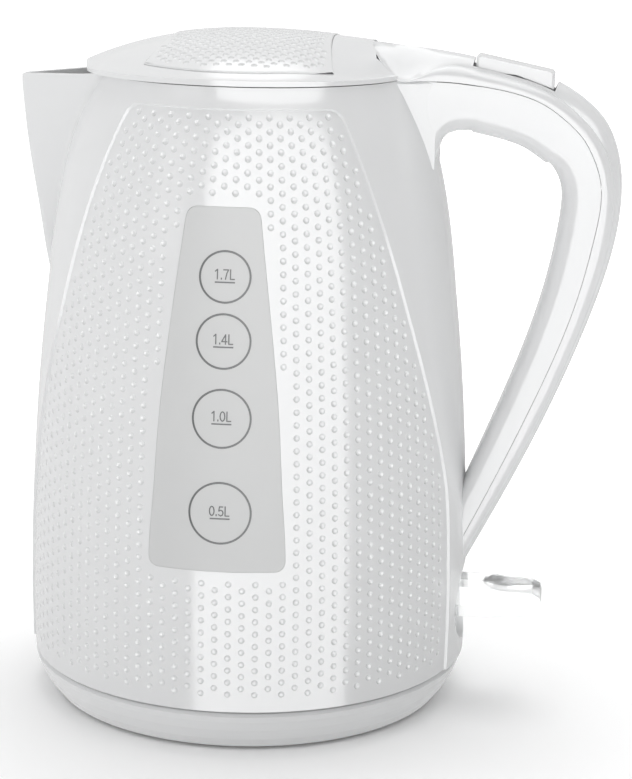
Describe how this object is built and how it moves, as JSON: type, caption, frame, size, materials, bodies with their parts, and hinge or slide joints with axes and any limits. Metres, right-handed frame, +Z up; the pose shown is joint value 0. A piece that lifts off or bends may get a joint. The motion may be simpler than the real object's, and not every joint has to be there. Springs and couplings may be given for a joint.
{
  "type": "electric kettle",
  "caption": "Cordless electric kettle: white dimpled jug with spout, water window, hinged lid, loop handle and clear on/off lever, standing on a round power base.",
  "frame": {"origin": "centre of the power base's underside, on the surface the kettle stands on", "axes": "+Z up along the jug's axis, the spout towards -X, the handle towards +X, the water window towards -Y"},
  "size_m": [0.2075, 0.155, 0.2334],
  "materials": {
    "white_gloss": "polished white plastic",
    "white_matte": "fine matte",
    "window_grey": "frosted translucent plastic",
    "clear_plastic": "clear polished plastic",
    "black_plastic": "matte moulded",
    "steel": "brushed stainless",
    "contact_brass": "bright",
    "heater_aluminium": "dull",
    "silicone": "soft translucent",
    "foot_rubber": "matte",
    "filter_nylon": "fine mesh"
  },
  "bodies": {
    "base": {"base_cover": "white_gloss", "base_plate": "white_matte", "base_feet": "foot_rubber", "base_screws": "steel", "base_connector": "black_plastic", "base_contact_rings": "contact_brass", "base_contact_pin": "contact_brass", "cord_inlet": "white_matte"},
    "socket": {"connector_socket": "black_plastic", "socket_contacts": "contact_brass"},
    "jug": {"bimetal_discs": "steel", "bracket_screws": "steel", "button_pin": "steel", "button_spring": "steel", "control_screws": "steel", "control_unit": "black_plastic", "cover_screws": "steel", "filter_frame": "white_matte", "filter_mesh": "filter_nylon", "handle_cover": "white_gloss", "heating_element": "heater_aluminium", "heating_plate": "steel", "hinge_bracket": "white_matte", "hinge_pin": "steel", "jug_shell": "white_gloss", "lever_pin": "steel", "lower_cover": "white_matte", "plate_seal": "silicone", "steam_tube": "white_matte", "water_window": "window_grey"},
    "lid": {"lid_top": "white_gloss", "lid_insert": "white_gloss", "lid_inner": "white_matte", "lid_seal": "silicone", "lid_screws": "steel"},
    "button": {"lid_button": "white_gloss"},
    "latch": {"latch_slider": "white_matte"},
    "lever": {"switch_lever": "clear_plastic"}
  },
  "joints": [
    {"name": "jug_lift", "type": "slide", "parent": "base", "child": "socket", "axis": [0, 0, 1], "range_m": [0, 0.06]},
    {"name": "jug_swivel", "type": "hinge", "parent": "socket", "child": "jug", "pos_m": [0, 0, 0.02], "axis": [0, 0, 1], "continuous": true},
    {"name": "lid_hinge", "type": "hinge", "parent": "jug", "child": "lid", "pos_m": [0.0515, 0, 0.217], "axis": [0, 1, 0], "range_deg": [0, 70]},
    {"name": "button_press", "type": "hinge", "parent": "jug", "child": "button", "pos_m": [0.079, 0, 0.2231], "axis": [0, 1, 0], "range_deg": [0, 6], "stiffness_Nm_per_rad": 0.25, "deforming": ["button_spring"]},
    {"name": "latch_slide", "type": "slide", "parent": "jug", "child": "latch", "axis": [1, 0, 0], "range_m": [0, 0.002]},
    {"name": "lever_rock", "type": "hinge", "parent": "jug", "child": "lever", "pos_m": [0.062, 0, 0.036], "axis": [0, 1, 0], "range_deg": [0, 12]}
  ],
  "couplings": [
    {"joint": "latch_slide", "follows": "button_press", "m_per_rad": 0.018}
  ]
}
